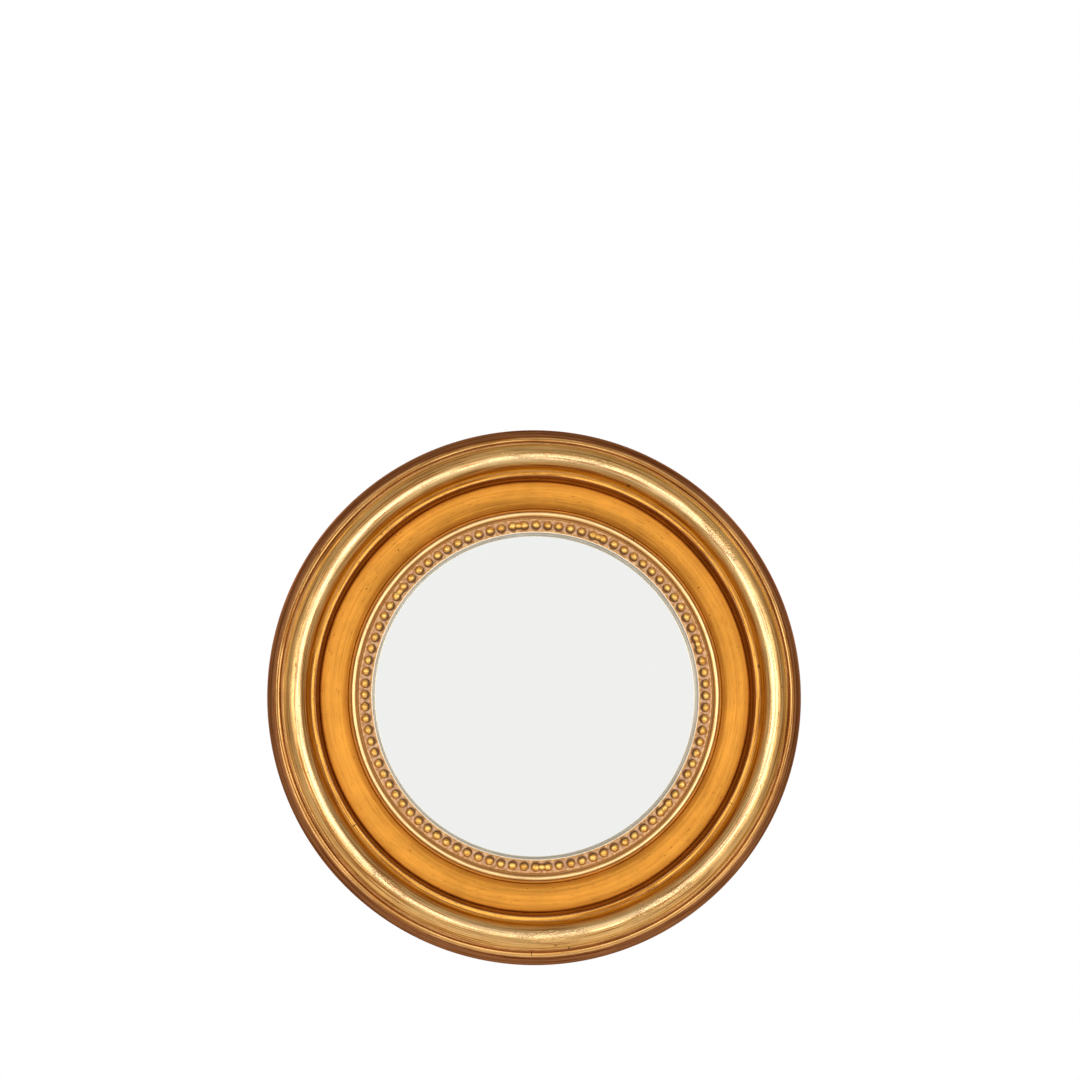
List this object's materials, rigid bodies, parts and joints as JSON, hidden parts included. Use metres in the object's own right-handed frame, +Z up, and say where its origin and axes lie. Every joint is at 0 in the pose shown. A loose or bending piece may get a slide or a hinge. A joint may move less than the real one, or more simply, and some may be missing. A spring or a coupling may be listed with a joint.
{
  "type": "convex butlers mirror",
  "caption": "Round convex wall mirror in a turned, gilded wooden frame with a beaded sight edge, turn buttons behind and a swinging hanging ring.",
  "frame": {"origin": "where the mirror's axis meets the wall plane, which the backs of the felt pads touch", "axes": "+Y along the axis into the wall, +Z up, so the mirror faces -Y and +X is to the viewer's right"},
  "size_m": [0.28, 0.033, 0.28],
  "materials": {
    "burnished_gilding": "turned wood, burnished gold leaf over red-brown bole, umber toning",
    "matt_gilding": "turned wood, matt gold leaf",
    "gilded_composition": "pressed composition, gilded, worn to a pinkish ground",
    "silvered_glass": "polished glass, silvered behind",
    "card": "grey-brown card",
    "hardboard": "brown hardboard, screen side out",
    "zinc_plated_steel": "pressed steel, bright zinc plate",
    "zinc_plated_screws": "steel screws, bright zinc plate",
    "brass_plated_strap": "folded steel strip, brass plate",
    "brass_plated_wire": "steel wire, brass plate",
    "brass_plated_screws": "steel screws, brass plate",
    "felt": "pressed brown-grey wool felt"
  },
  "bodies": {
    "frame": {"outer_moulding": "burnished_gilding", "scoop_ring": "matt_gilding", "bead_strip": "gilded_composition", "convex_glass": "silvered_glass", "packing_ring": "card", "backing_board": "hardboard", "turn_button_screws": "zinc_plated_screws", "hanger_strap": "brass_plated_strap", "hanger_screws": "brass_plated_screws", "wall_pad_left": "felt", "wall_pad_right": "felt"},
    "button_top_left": {"turn_button_top_left": "zinc_plated_steel"},
    "button_top_right": {"turn_button_top_right": "zinc_plated_steel"},
    "button_bottom_left": {"turn_button_bottom_left": "zinc_plated_steel"},
    "button_bottom_right": {"turn_button_bottom_right": "zinc_plated_steel"},
    "d_ring": {"hanger_ring": "brass_plated_wire"}
  },
  "joints": [
    {"name": "top_left_button_turn", "type": "hinge", "parent": "frame", "child": "button_top_left", "pos_m": [-0.07354, -0.0033, 0.07354], "axis": [0, 1, 0], "continuous": true},
    {"name": "top_right_button_turn", "type": "hinge", "parent": "frame", "child": "button_top_right", "pos_m": [0.07354, -0.0033, 0.07354], "axis": [0, 1, 0], "continuous": true},
    {"name": "bottom_left_button_turn", "type": "hinge", "parent": "frame", "child": "button_bottom_left", "pos_m": [-0.07354, -0.0033, -0.07354], "axis": [0, 1, 0], "continuous": true},
    {"name": "bottom_right_button_turn", "type": "hinge", "parent": "frame", "child": "button_bottom_right", "pos_m": [0.07354, -0.0033, -0.07354], "axis": [0, 1, 0], "continuous": true},
    {"name": "hanger_ring_swing", "type": "hinge", "parent": "frame", "child": "d_ring", "pos_m": [0, -0.00211, 0.121], "axis": [-1, 0, 0], "range_deg": [0, 175]}
  ]
}
